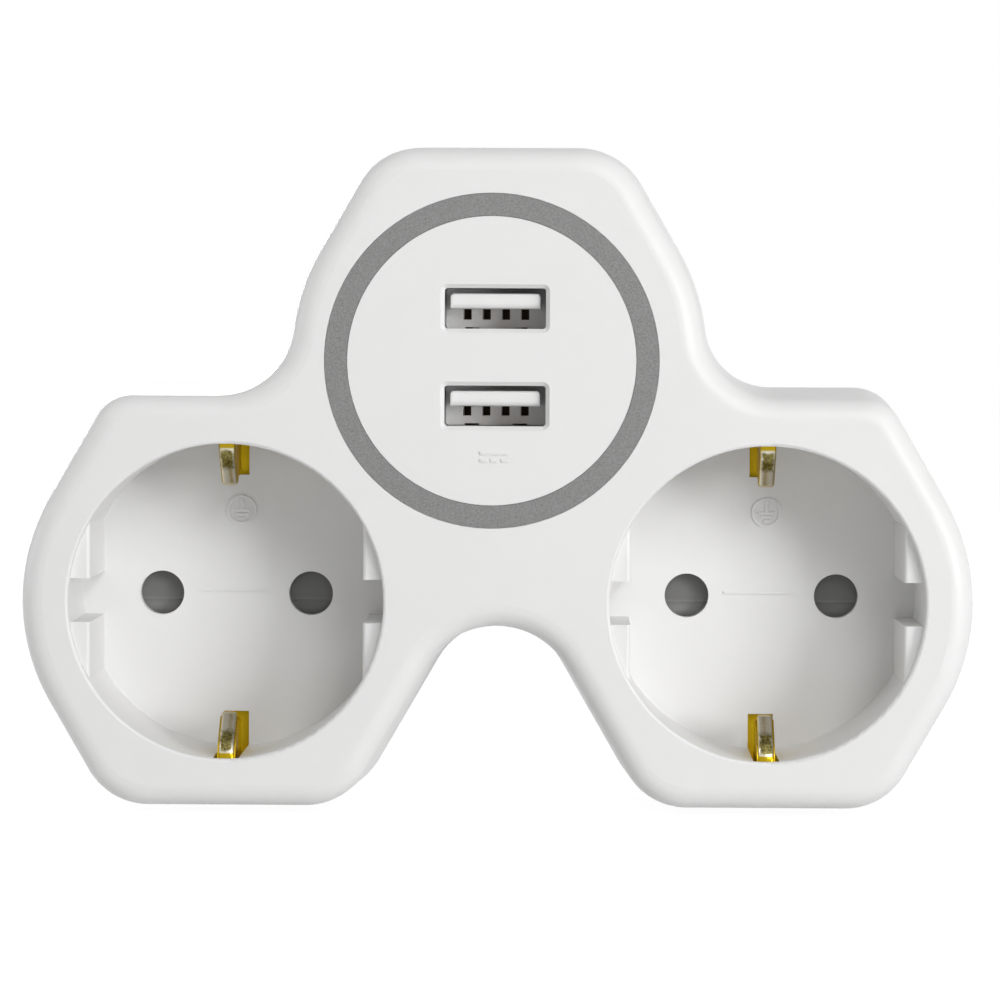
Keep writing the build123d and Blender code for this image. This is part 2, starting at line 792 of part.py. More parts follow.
def all_pieces():
    """Every piece by name."""
    pieces = {
        "front_cover": front_cover(),
        "back_cover": back_cover(),
        "accent_ring": accent_ring(),
        "charger_board": charger_board(),
        "board_screws": small_screws(
            both_sides(board_post_x, board_post_z), board_back, board_screw_length
        ),
        "transformer_core": transformer_core(),
        "transformer_coil": transformer_coil(),
        "input_capacitor": capacitor(
            input_capacitor_place, input_capacitor_radius, input_capacitor_height
        ),
        "output_capacitor": capacitor(
            output_capacitor_place, output_capacitor_radius, output_capacitor_height
        ),
        "controller_chip": controller_chip(),
        "fuse_resistor": fuse_resistor(),
        "live_busbar": live_busbar(),
        "neutral_busbar": neutral_busbar(),
        "earth_bridge": earth_bridge(),
        "plug_earth_strap": plug_earth_strap(),
        "plug_pins": plug_pins(),
        "retainer_screws": small_screws(
            retainer_screw_places(), retainer_back, retainer_screw_length
        ),
        "housing_screws": housing_screws(),
    }
    for name, z in usb_places.items():
        pieces[f"usb_shell_{name}"] = usb_shell(z)
        pieces[f"usb_insulator_{name}"] = usb_insulator(z)
        pieces[f"usb_contacts_{name}"] = usb_contacts(z)
    for name, x in socket_places.items():
        pieces[f"earth_strap_{name}"] = earth_strap(x)
        pieces[f"shutter_{name}"] = shutter(x)
        pieces[f"shutter_spring_{name}"] = shutter_spring(x)
        pieces[f"shutter_retainer_{name}"] = shutter_retainer(x)
    return pieces


def main():
    """Write one STEP file for each piece."""
    os.makedirs("parts", exist_ok=True)
    for name, piece in all_pieces().items():
        export_step(piece, f"parts/{name}.step")


if __name__ == "__main__":
    main()
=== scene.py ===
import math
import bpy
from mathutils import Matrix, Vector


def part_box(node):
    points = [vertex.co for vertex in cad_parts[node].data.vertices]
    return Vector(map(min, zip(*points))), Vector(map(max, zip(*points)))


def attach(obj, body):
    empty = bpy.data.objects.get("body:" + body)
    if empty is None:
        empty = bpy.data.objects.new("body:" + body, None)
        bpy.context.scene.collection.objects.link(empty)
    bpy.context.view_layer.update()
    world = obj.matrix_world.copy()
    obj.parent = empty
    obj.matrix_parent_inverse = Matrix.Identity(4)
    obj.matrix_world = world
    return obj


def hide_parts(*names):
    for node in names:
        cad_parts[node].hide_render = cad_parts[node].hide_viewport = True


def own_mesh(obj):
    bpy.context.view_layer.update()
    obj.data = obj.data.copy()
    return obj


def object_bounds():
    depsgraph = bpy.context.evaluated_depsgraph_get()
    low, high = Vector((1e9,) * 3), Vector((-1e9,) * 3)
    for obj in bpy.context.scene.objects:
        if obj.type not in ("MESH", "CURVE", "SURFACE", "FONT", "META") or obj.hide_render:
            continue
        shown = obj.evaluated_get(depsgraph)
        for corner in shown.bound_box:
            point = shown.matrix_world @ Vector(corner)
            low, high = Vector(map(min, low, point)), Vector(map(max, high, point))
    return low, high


bl_info = {
    "name": "Double socket adapter",
    "version": (1, 0, 0),
    "blender": (4, 5, 0),
    "location": "View3D > Sidebar > Adapter",
    "description": "Finishes, metal parts and stage of a double socket adapter with two USB ports",
    "category": "Add Mesh",
}

import bmesh
import bpy
from bpy.props import FloatProperty, FloatVectorProperty, PointerProperty
from mathutils import Euler, Matrix, Quaternion, Vector

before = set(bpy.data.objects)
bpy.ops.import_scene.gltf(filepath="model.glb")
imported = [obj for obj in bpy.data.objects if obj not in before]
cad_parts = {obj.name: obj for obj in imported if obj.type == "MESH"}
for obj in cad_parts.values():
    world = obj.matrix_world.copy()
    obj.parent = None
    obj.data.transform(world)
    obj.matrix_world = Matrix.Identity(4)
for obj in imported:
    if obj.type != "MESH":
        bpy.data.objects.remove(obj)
CAD_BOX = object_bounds()
MM = 0.001
PORTS = ("upper", "lower")
SOCKETS = ("left", "right")
ARC_STEPS = 8
CROWN_STEPS = 8
SHARP_TURN = 40
SAME_POINT = 0.0001 * MM


def length(name, description, default):
    """Length property with its default in millimetres."""
    return FloatProperty(
        name=name, description=description, default=default * MM, unit="LENGTH", precision=5
    )


def colour(name, description, default):
    """Colour property, linear red, green and blue."""
    return FloatVectorProperty(
        name=name, description=description, default=default, subtype="COLOR", min=0, max=1
    )


class MetalSizes(bpy.types.PropertyGroup):
    """Sizes of the sheet metal parts that are made here."""

    sheet: length("Brass sheet", "Thickness of the earth straps", 0.8)
    bend: length("Bend radius", "Radius on the middle line of a bend in the brass", 0.8)
    edge: length("Edge radius", "Rounding of the straps' edges", 0.12)
    base_width: length("Strap width", "Width of the strap behind a well", 8)
    base_rise: length("Strap rise", "Depth from the feet of the strap to its middle", 5.7)
    foot: length("Foot length", "Length of each foot of the strap", 7.5)
    leg_width: length("Leg width", "Width of the strip that carries a clip", 3.0)
    clip_width: length("Clip width", "Width of a spring clip", 2.0)
    clip_edge: length("Clip edge radius", "Rounding of a clip's long edges", 0.34)
    clip_crown: length("Clip crown", "How much a clip is crowned across its width", 0.1)
    clip_lip: length("Clip lip depth", "Depth of the clip's front end below the face", 1.3)
    clip_nose: length("Clip nose radius", "How near to the middle of the well a clip comes", 13.9)
    clip_nose_depth: length("Clip nose depth", "Depth of the clip's nose below the face", 7.0)
    clip_front: length("Clip front", "Height of the clip's steep front", 2.7)
    clip_lean: length("Clip lean", "How far the steep front leans back", 0.5)
    clip_bend: length("Clip bend radius", "Radius where the front bends to the nose", 3.2)
    tip_depth: length("Tip depth", "How far the clip's tip reaches behind its nose", 1.2)
    tip_rise: length("Tip rise", "How far the tip turns away from the well's middle", 1.3)
    cheek_depth: length("Cheek depth", "How far a clip's sides reach behind its nose", 5.0)
    cheek_rise: length("Cheek rise", "How far the sides slope up to their back end", 1.5)
    cheek_sheet: length("Cheek sheet", "Thickness of a clip's sides", 0.5)
    plug_strap_edge: length("Plug strap edge", "Round on the plug's earth strap", 0.15)
    # Length at the back of the ports' contacts that is unplated and painted dark as shade.
    bare_shaded_leg: length("Bare leg", "Length of the bare ends of the ports' contacts", 2.0)
    # Sizes from here to patch_fade place the painted reflections on the clips' fronts: a pale
    # painted highlight with a dark painted reflection inside it.
    reflection_edge: length("Rubbed edge", "Width of the change from rubbed to plain brass", 0.2)
    front_fade: length("Front fade", "Depth of the change to plain brass behind a nose", 0.5)
    reflection_end: length("Rubbed end", "Distance from the well's middle where rubbing ends", 19.0)
    patch_start: length("Patch start", "Distance from the well's middle to the patch", 16.0)
    patch_end: length("Patch end", "Distance from the well's middle to the patch's end", 18.8)
    patch_fade: length("Patch fade", "Width of the soft edge of the patch", 0.6)
    sheen: FloatProperty(name="Brass sheen", description="Roughness of the brass", default=0.2)


class MouldingSizes(bpy.types.PropertyGroup):
    """Sizes of the rounds on the mouldings, and heights of the painted light on the shutters."""

    tongue_edge: length("Tongue edge", "Round on the front edges of a port's tongue", 0.3)
    shutter_edge: length("Shutter edge", "Round on the edges of a shutter", 0.6)
    # Heights on a shutter below which painted light makes it pale.
    painted_light_start: length("Pale start", "Height on a shutter below which it turns pale", 2.9)
    painted_light_end: length("Pale end", "Height on a shutter below which it is quite pale", 1.4)


class AdapterColours(bpy.types.PropertyGroup):
    """Colours of the finishes."""

    plastic: colour("Plastic", "White moulded plastic", (0.80, 0.80, 0.795))
    # The shutters' dark grey is painted shade: it stands in for the shade deep in the pin holes.
    shutter: colour("Shutter", "Grey plastic of the shutters", (0.14, 0.14, 0.135))
    # Pale tone of a shutter's sloped lower face: painted light.
    ramp_painted_light: colour("Shutter ramp", "Ramp of a shutter, rubbed pale by plug pins", (0.36, 0.36, 0.35))
    ring: colour("Ring", "Grey ring round the ports", (0.225, 0.225, 0.223))
    brass: colour("Brass", "Sheet brass", (0.66, 0.46, 0.015))
    # Pale painted highlight and dark painted reflection on the clips' fronts.
    painted_reflection: colour("Rubbed brass", "Nose of the clips, where plugs rub them", (0.68, 0.645, 0.55))
    dull: colour("Dull brass", "Stained patch on the front of a clip", (0.17, 0.145, 0.05))
    gold: colour("Gold", "Plated contacts in the ports", (0.83, 0.60, 0.22))
    # The contacts' unplated ends, painted much darker as the shade in the ports' windows.
    leg: colour("Contact leg", "Bare, dull ends of the contacts in the ports", (0.16, 0.125, 0.09))
    nickel: colour("Nickel", "Plated plug pins", (0.66, 0.64, 0.60))
    steel: colour("Steel", "Zinc-plated steel", (0.55, 0.55, 0.56))
    board: colour("Board", "Solder mask of the charger board", (0.02, 0.16, 0.06))
    ferrite: colour("Ferrite", "Sintered ferrite of the transformer", (0.035, 0.034, 0.036))
    tape: colour("Tape", "Tape round the transformer's coil", (0.75, 0.56, 0.05))
    can: colour("Sleeve", "Sleeve of the capacitors", (0.015, 0.02, 0.05))
    black: colour("Black", "Black plastic of the chip", (0.018, 0.018, 0.019))
    resistor: colour("Resistor", "Body of the fuse resistor", (0.10, 0.28, 0.40))


class StageSettings(bpy.types.PropertyGroup):
    """Camera, lamps and floor."""

    camera: FloatVectorProperty(
        name="Camera", description="Place of the camera", default=(0.0087, -0.540, 0.0593),
        subtype="TRANSLATION", precision=4,
    )
    target: FloatVectorProperty(
        name="Target", description="Point the camera looks at", default=(0.0004, -0.038, 0.03924),
        subtype="TRANSLATION", precision=4,
    )
    roll: FloatProperty(
        name="Roll", description="Turn of the camera about its view", default=math.radians(0.27),
        subtype="ANGLE",
    )
    lens: FloatProperty(
        name="Lens", description="Focal length on a 36 mm sensor, in millimetres", default=146.9
    )
    sky: FloatProperty(name="Sky", description="Strength of the even light", default=0.30)
    key: FloatProperty(name="Key", description="Share of the light from the right", default=0.49)
    top: FloatProperty(name="Top", description="Share of the light from above", default=0.25)
    side: FloatProperty(name="Side", description="Share of the light from the left", default=0.10)
    rim: FloatProperty(name="Rim", description="Share of the light along the face", default=0.14)
    back: FloatProperty(name="Back", description="Share of the light from behind", default=0.38)
    distance: FloatProperty(
        name="Lamp distance", description="Distance of the lamps", default=0.9, unit="LENGTH"
    )
    lamp_size: FloatProperty(
        name="Lamp size", description="Side of each square lamp", default=0.3, unit="LENGTH"
    )
    floor: colour("Floor", "Pale floor", (0.80, 0.80, 0.80))
    floor_size: FloatProperty(
        name="Floor size", description="Half the side of the floor", default=4, unit="LENGTH"
    )
    floor_gap: length("Floor gap", "Gap between the feet and the floor", 0.02)
    floor_glow: FloatProperty(
        name="Floor glow", description="Share of the floor that shows plain white", default=0.88
    )
    floor_light: FloatProperty(
        name="Floor light", description="Strength of the floor's plain white", default=1.09
    )


class Wire:
    """Output of a node, on which sums are written as expressions."""

    def __init__(self, nodes, socket):
        self.nodes = nodes
        self.socket = socket

    def maths(self, operation, first, second):
        return self.nodes.node("ShaderNodeMath", {"operation": operation}, {0: first, 1: second})

    def __add__(self, other):
        return self.maths("ADD", self, other)

    def __radd__(self, other):
        return self.maths("ADD", other, self)

    def __sub__(self, other):
        return self.maths("SUBTRACT", self, other)

    def __rsub__(self, other):
        return self.maths("SUBTRACT", other, self)

    def __mul__(self, other):
        return self.maths("MULTIPLY", self, other)

    def __rmul__(self, other):
        return self.maths("MULTIPLY", other, self)


class Nodes:
    """Node tree to which each node is added in one call."""

    def __init__(self, tree):
        self.tree = tree

    def node(self, kind, settings, inputs, output=0):
        """Add a node, first with its settings and then with the values or links of its inputs."""
        made = self.tree.nodes.new(kind)
        for key, value in settings.items():
            setattr(made, key, value)
        for key, value in inputs.items():
            self.join(value, made.inputs[key])
        return Wire(self, made.outputs[output])

    def join(self, value, socket):
        """Link a wire to a socket, or set the socket's value."""
        if isinstance(value, Wire):
            self.tree.links.new(value.socket, socket)
        elif socket.type == "RGBA":
            socket.default_value = (*value, 1)
        else:
            socket.default_value = value

    def between(self, value, low, high):
        """A wire's 0 to 1 taken to this range and held in it."""
        return self.node(
            "ShaderNodeMapRange", {}, {"Value": value, "To Min": low, "To Max": high}
        )

    def contrast(self, value, low, high):
        """A wire whose values from low to high become 0 to 1."""
        return self.node(
            "ShaderNodeMapRange", {}, {"Value": value, "From Min": low, "From Max": high}
        )

    def seen_rays(self):
        """1 for rays from the camera and rays off gloss or glass, 0 for the light itself."""
        seen = [
            self.node("ShaderNodeLightPath", {}, {}, kind)
            for kind in ("Is Camera Ray", "Is Glossy Ray", "Is Transmission Ray")
        ]
        total = seen[0] + seen[1] + seen[2]
        return self.node("ShaderNodeClamp", {}, {"Value": total})


class Finish(Nodes):
    """Material with one Principled shader, whose sockets are named as in specular_tint."""

    def __init__(self, name, **settings):
        self.material = bpy.data.materials.new(name)
        self.material.use_nodes = True
        super().__init__(self.material.node_tree)
        self.shader = self.tree.nodes["Principled BSDF"]
        for socket, value in settings.items():
            self.feed(socket.replace("_", " ").title().replace("Ior", "IOR"), value)

    def feed(self, socket, value):
        """Link or set a socket of the shader."""
        self.join(value, self.shader.inputs[socket])

    def place(self):
        """Position on the piece, in metres."""
        return self.node("ShaderNodeTexCoord", {}, {}, "Object")

    def noise(self, size, detail, stretch=(1, 1, 1)):
        """Cloudy noise from 0 to 1 with spots of this size in metres."""
        place = self.node(
            "ShaderNodeVectorMath", {"operation": "MULTIPLY"}, {0: self.place(), 1: stretch}
        )
        return self.node(
            "ShaderNodeTexNoise", {}, {"Vector": place, "Scale": 1 / size, "Detail": detail}
        )

    def mix(self, factor, first, second):
        """Colour between two colours."""
        return self.node(
            "ShaderNodeMix", {"data_type": "RGBA"}, {0: factor, 6: first, 7: second}, 2
        )

    def part(self, vector, axis):
        """One part of a vector, X, Y or Z."""
        return self.node("ShaderNodeSeparateXYZ", {}, {0: vector}, axis)

    def absolute(self, value):
        """A wire's value without its sign."""
        return self.node("ShaderNodeMath", {"operation": "ABSOLUTE"}, {0: value})

    def bump(self, relief, height):
        """Relief of this height in metres."""
        normal = self.node(
            "ShaderNodeBump", {}, {"Strength": 1.0, "Distance": height, "Height": relief}
        )
        self.feed("Normal", normal)


def shaded(tone, factor):
    """Colour multiplied by a number."""
    return tuple(min(1.0, part * factor) for part in tone)


def moulded_plastic(name, tone, gloss):
    """Satin plastic with the fine grain of an eroded mould and a faint flow mottle."""
    finish = Finish(name, ior=1.49)
    mottle = finish.noise(size=11 * MM, detail=3)
    grain = finish.noise(size=0.16 * MM, detail=1)
    finish.feed("Base Color", finish.mix(mottle, shaded(tone, 0.985), shaded(tone, 1.01)))
    finish.feed("Roughness", finish.between(grain * 0.5 + mottle * 0.5, gloss - 0.05, gloss + 0.06))
    finish.bump(grain + finish.noise(size=0.6 * MM, detail=1) * 0.6, height=0.0035 * MM)
    return finish.material


def shutter_plastic(colours, sizes, bottom, gloss):
    """Dark grey moulded plastic as painted shade, pale below a height as painted light on its
    sloped lower face.
    """
    tone = colours.shutter
    finish = Finish("shutter_plastic", ior=1.49)
    mottle = finish.noise(size=3 * MM, detail=3)
    height = finish.part(finish.place(), "Z")
    # Painted light: the shutter turns pale below this height.
    below = finish.contrast(height, bottom + sizes.painted_light_start, bottom + sizes.painted_light_end)
    plain = finish.mix(mottle, shaded(tone, 0.95), shaded(tone, 1.05))
    finish.feed("Base Color", finish.mix(below, plain, colours.ramp_painted_light))
    finish.feed("Roughness", finish.between(mottle, gloss - 0.05, gloss + 0.06))
    finish.bump(finish.noise(size=0.6 * MM, detail=1), height=0.0035 * MM)
    return finish.material


def speckled_ring(tone):
    """Grey paint with fine lighter and darker grains."""
    finish = Finish("ring_grey", ior=1.48)
    grain = finish.contrast(finish.noise(size=0.22 * MM, detail=2), 0.3, 0.7)
    cloud = finish.noise(size=1.1 * MM, detail=2)
    mask = grain * 0.8 + cloud * 0.2
    finish.feed("Base Color", finish.mix(mask, shaded(tone, 0.72), shaded(tone, 1.3)))
    finish.feed("Roughness", finish.between(grain, 0.42, 0.62))
    finish.bump(grain, height=0.01 * MM)
    return finish.material


def sheet_metal(name, tone, rough):
    """Rolled metal with fine lines, slightly darker in clouds."""
    finish = Finish(name, metallic=1.0, specular_tint=tone)
    lines = finish.noise(size=0.12 * MM, detail=2, stretch=(0.12, 1, 1))
    cloud = finish.noise(size=2.2 * MM, detail=3)
    finish.feed("Base Color", finish.mix(cloud, shaded(tone, 0.8), tone))
    finish.feed("Roughness", finish.between(lines * 0.6 + cloud * 0.4, rough - 0.07, rough + 0.09))
    finish.bump(lines, height=0.002 * MM)
    return finish.material


def clip_brass(colours, sizes, face, socket_x, socket_z):
    """Sheet brass of the earth straps; each clip's front carries painted reflections, a pale
    painted highlight round a dark painted reflection, and painted shade near the rim.
    """
    finish = Finish("brass", metallic=1.0, specular_tint=colours.brass)
    place = finish.place()
    lines = finish.noise(size=0.12 * MM, detail=2, stretch=(1, 0.1, 0.1))
    cloud = finish.noise(size=1.1 * MM, detail=3)
    specks = finish.contrast(finish.noise(size=0.3 * MM, detail=2), 0.35, 0.65)
    waver = (cloud - 0.5) * MM
    across = finish.absolute(finish.absolute(finish.part(place, "X")) - socket_x)
    height = finish.absolute(finish.part(place, "Z") - socket_z)
    back = face + sizes.clip_nose_depth + sizes.sheet
    front = 1 - finish.contrast(finish.part(place, "Y"), back, back + sizes.front_fade)
    half = sizes.clip_width / 2
    middle = finish.contrast(across, half, half - sizes.reflection_edge)
    inside = finish.contrast(height, sizes.reflection_end, sizes.reflection_end - sizes.reflection_edge)
    # Band on each clip's front, near the well's middle, painted with reflections in place of plain
    # brass.
    painted_reflection = middle * front * inside
    # Dark painted reflection: a patch with wavering edges across the middle of the band.
    patch = finish.contrast(across + waver, half - sizes.reflection_edge / 2, half - 2 * sizes.reflection_edge)
    start, end, fade = sizes.patch_start, sizes.patch_end, sizes.patch_fade
    above = finish.contrast(height + waver, start, start + fade)
    below = finish.contrast(height + waver, end, end - fade / 2)
    dull = patch * above * below * front
    sheet = finish.mix(cloud, shaded(colours.brass, 0.8), colours.brass)
    # Painted shade from the rim: the clip's front band is darker where no painted reflection covers
    # it.
    sheet = finish.mix(middle * front, sheet, shaded(colours.brass, 0.62))
    # Dark painted reflection in specks, set in the pale painted highlight.
    dark_reflection = finish.mix(specks, shaded(colours.dull, 0.5), shaded(colours.dull, 1.7))
    painted_reflection_colour = finish.mix(dull, finish.mix(cloud, shaded(colours.painted_reflection, 0.9), colours.painted_reflection), dark_reflection)
    finish.feed("Base Color", finish.mix(painted_reflection, sheet, painted_reflection_colour))
    sheen = finish.between(lines * 0.6 + cloud * 0.4, sizes.sheen - 0.07, sizes.sheen + 0.09)
    finish.feed("Roughness", sheen + dull * 0.12 + (1 - front) * 0.3)
    finish.bump(lines, height=0.002 * MM)
    return finish.material


def plated_contact(name, tone, bare_and_shaded, rough, plating_end, fade=0.3 * MM):
    """Gold plating on bronze, unplated behind this depth and painted dark there as painted shade in
    the port's windows.
    """
    finish = Finish(name, metallic=1.0)
    lines = finish.noise(size=0.1 * MM, detail=2, stretch=(1, 0.1, 1))
    # Painted shade: behind this depth the contact is dark and dull.
    behind = finish.contrast(finish.part(finish.place(), "Y"), plating_end, plating_end + fade)
    finish.feed("Base Color", finish.mix(behind, finish.mix(lines, shaded(tone, 0.85), tone), bare_and_shaded))
    finish.feed("Roughness", finish.between(behind * 0.7 + lines * 0.3, rough, 0.6))
    return finish.material


def turned_metal(name, tone, rough):
    """Plated metal with the fine rings of the lathe and a few dull patches."""
    finish = Finish(name, metallic=1.0)
    rings = finish.noise(size=0.09 * MM, detail=2, stretch=(0.02, 1, 0.02))
    cloud = finish.noise(size=3 * MM, detail=3)
    finish.feed("Base Color", finish.mix(cloud, shaded(tone, 0.86), tone))
    finish.feed("Roughness", finish.between(rings * 0.5 + cloud * 0.5, rough - 0.06, rough + 0.1))
    finish.bump(rings, height=0.0025 * MM)
    return finish.material


def solder_mask(tone):
    """Glossy board lacquer over woven glass."""
    finish = Finish("board_green", ior=1.5)
    weave = finish.noise(size=0.4 * MM, detail=1, stretch=(1, 1, 0.4))
    finish.feed("Base Color", finish.mix(weave, shaded(tone, 0.8), shaded(tone, 1.25)))
    finish.feed("Roughness", finish.between(weave, 0.24, 0.36))
    finish.bump(weave, height=0.006 * MM)
    return finish.material


def plain_body(name, tone, rough, grain_size):
    """Dull body of an electronic part with a fine grain."""
    finish = Finish(name, ior=1.5)
    grain = finish.noise(grain_size, detail=2)
    finish.feed("Base Color", finish.mix(grain, shaded(tone, 0.8), shaded(tone, 1.2)))
    finish.feed("Roughness", finish.between(grain, rough - 0.06, rough + 0.08))
    finish.bump(grain, height=0.008 * MM)
    return finish.material


def wound_tape(tone):
    """Glossy tape in turns round the coil."""
    finish = Finish("coil_tape", ior=1.5)
    turns = finish.noise(size=0.5 * MM, detail=1, stretch=(0.05, 1, 0.05))
    finish.feed("Base Color", finish.mix(turns, shaded(tone, 0.8), shaded(tone, 1.1)))
    finish.feed("Roughness", finish.between(turns, 0.2, 0.34))
    finish.bump(turns, height=0.01 * MM)
    return finish.material


def cover_node(name, material):
    """Give a CAD node its finish."""
    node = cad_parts[name]
    node.data.materials.clear()
    node.data.materials.append(material)
    return node


def soften_edges(node, width, segments=2, least_turn=SHARP_TURN):
    """Round on the edges of a CAD node that turn by more than this many degrees."""
    bevel = node.modifiers.new("edges", "BEVEL")
    bevel.width = width
    bevel.segments = segments
    bevel.limit_method = "ANGLE"
    bevel.angle_limit = math.radians(least_turn)
    bevel.harden_normals = True
    bevel.use_clamp_overlap = True


def new_piece(name, mesh_data, material, body, node):
    """Object of this mesh, riding on a body and standing for a CAD node."""
    mesh = bpy.data.meshes.new(name)
    mesh_data.to_mesh(mesh)
    mesh_data.free()
    mesh.materials.append(material)
    piece = bpy.data.objects.new(name, mesh)
    bpy.context.scene.collection.objects.link(piece)
    for face in mesh.polygons:
        face.use_smooth = True
    mesh.set_sharp_from_angle(angle=math.radians(SHARP_TURN))
    piece.modifiers.new("flat faces", "WEIGHTED_NORMAL").keep_sharp = True
    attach(piece, body)
    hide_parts(node)
    return piece


def copied_mesh(node):
    """Copy of a CAD node's mesh with its faces joined."""
    mesh = bmesh.new()
    mesh.from_mesh(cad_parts[node].data)
    bmesh.ops.remove_doubles(mesh, verts=mesh.verts, dist=SAME_POINT)
    return mesh


def loft(mesh, loops):
    """Closed skin over loops of points with the same number of points in each."""
    rows = [[mesh.verts.new(point) for point in loop] for loop in loops]
    count = len(rows[0])
    for row, following in zip(rows, rows[1:]):
        for i in range(count):
            j = (i + 1) % count
            mesh.faces.new((row[i], row[j], following[j], following[i]))
    mesh.faces.new(list(reversed(rows[0])))
    mesh.faces.new(rows[-1])


def rounded_path(corners):
    """Points along (depth, height, radius) corners, with an arc at each one inside the path."""
    points = [Vector(corner[:2]) for corner in corners]
    path = [points[0]]
    for i in range(1, len(points) - 1):
        corner, radius = points[i], corners[i][2]
        into = (corner - points[i - 1]).normalized()
        out = (points[i + 1] - corner).normalized()
        turn = into.angle(out)
        centre = corner + (out - into).normalized() * radius / math.cos(turn / 2)
        start = corner - into * radius * math.tan(turn / 2) - centre
        side = 1 if into.x * out.y > into.y * out.x else -1
        for step in range(ARC_STEPS + 1):
            angle = side * turn * step / ARC_STEPS
            path.append(centre + Matrix.Rotation(angle, 2) @ start)
    path.append(points[-1])
    return path


def inset(outline, gap):
    """Closed outline moved by this gap to the left of its way round."""
    moved = []
    before = outline[-1:] + outline[:-1]
    after = outline[1:] + outline[:1]
    for last, corner, following in zip(before, outline, after):
        into = (corner - last).normalized()
        out = (following - corner).normalized()
        side = Vector((-into.y - out.y, into.x + out.x)).normalized()
        moved.append(corner + side * gap / math.cos(into.angle(out) / 2))
    return moved


def plate(mesh, outline, low, high, edge):
    """Plate across x with this side view outline of (depth, height), edges broken by this much."""
    small = inset(outline, edge)
    loops = [(low, small), (low + edge, outline), (high - edge, outline), (high, small)]
    loft(mesh, [[(x, point.x, point.y) for point in loop] for x, loop in loops])


def strip_section(width, thickness, edge, crown=0.0, steps=4):
    """Outline of a sheet strip, as offsets across and along the sheet's normal."""
    outline = []
    for side_x, side_t, first in ((1, 1, 0), (-1, 1, 90), (-1, -1, 180), (1, -1, 270)):
        for step in range(steps + 1):
            angle = math.radians(first + 90 * step / steps)
            across = side_x * (width / 2 - edge) + edge * math.cos(angle)
            up = side_t * (thickness / 2 - edge) + edge * math.sin(angle)
            outline.append((across, up))
        if side_t == side_x:
            for step in range(1, CROWN_STEPS):
                share = 1 - 2 * step / CROWN_STEPS
                across = side_x * share * (width / 2 - edge)
                outline.append((across, side_t * thickness / 2))
    return [(across, up - crown * (2 * across / width) ** 2) for across, up in outline]


def strip(mesh, x, path, section):
    """Strip swept along a side view path of (depth, height) points, at this x."""
    loops = []
    for i, point in enumerate(path):
        before = path[max(i - 1, 0)]
        after = path[min(i + 1, len(path) - 1)]
        along = (after - before).normalized()
        normal = Vector((-along.y, along.x))
        loops.append(
            [
                (x + across, point.x + normal.x * up, point.y + normal.y * up)
                for across, up in section
            ]
        )
    loft(mesh, loops)


class ADAPTER_OT_covers(bpy.types.Operator):
    """Finish the white mouldings"""

    bl_idname = "adapter.covers"
    bl_label = "Covers"

    def execute(self, context):
        colours = context.scene.adapter_colours
        plastic = moulded_plastic("white_plastic", colours.plastic, 0.42)
        for name in ("front_cover", "back_cover"):
            cover_node(name, plastic)
        sizes = context.scene.adapter_mouldings
        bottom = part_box("shutter_left")[0].z
        shutter = shutter_plastic(colours, sizes, bottom, 0.5)
        # The retainers share the shutters' grey, which is painted shade.
        inside = moulded_plastic("retainer_plastic", colours.shutter, 0.5)
        for side in SOCKETS:
            node = cover_node(f"shutter_{side}", shutter)
            soften_edges(node, sizes.shutter_edge, segments=4, least_turn=20)
            cover_node(f"shutter_retainer_{side}", inside)
        return {"FINISHED"}


class ADAPTER_OT_ring(bpy.types.Operator):
    """Finish the grey ring round the ports"""

    bl_idname = "adapter.ring"
    bl_label = "Ring"

    def execute(self, context):
        cover_node("accent_ring", speckled_ring(context.scene.adapter_colours.ring))
        return {"FINISHED"}


class ADAPTER_OT_ports(bpy.types.Operator):
    """Finish the two USB ports"""

    bl_idname = "adapter.ports"
    bl_label = "USB ports"

    def execute(self, context):
        colours = context.scene.adapter_colours
        steel = sheet_metal("port_steel", shaded(colours.steel, 1.3), 0.35)
        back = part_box("usb_insulator_upper")[1].y
        plating_end = back - context.scene.adapter_metal.bare_shaded_leg
        gold = plated_contact("contact_gold", colours.gold, colours.leg, 0.22, plating_end)
        plastic = moulded_plastic("port_plastic", colours.plastic, 0.38)
        for port in PORTS:
            cover_node(f"usb_shell_{port}", steel)
            cover_node(f"usb_contacts_{port}", gold)
            self.tongue(port, plastic, context.scene.adapter_mouldings.tongue_edge)
        return {"FINISHED"}

    def tongue(self, port, plastic, width):
        """The port's white insulator with rounds on the front edges of its tongue."""
        node = f"usb_insulator_{port}"
        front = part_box(node)[0].y + 0.01 * MM  # edges before this depth are on the front face
        mesh = copied_mesh(node)
        bmesh.ops.dissolve_limit(
            mesh, angle_limit=math.radians(1), verts=mesh.verts, edges=mesh.edges
        )
        edges = [edge for edge in mesh.edges if max(vert.co.y for vert in edge.verts) < front]
        bmesh.ops.bevel(mesh, geom=edges, offset=width, segments=4, profile=0.5, affect="EDGES")
        new_piece(f"port_tongue_{port}", mesh, plastic, "housing", node)


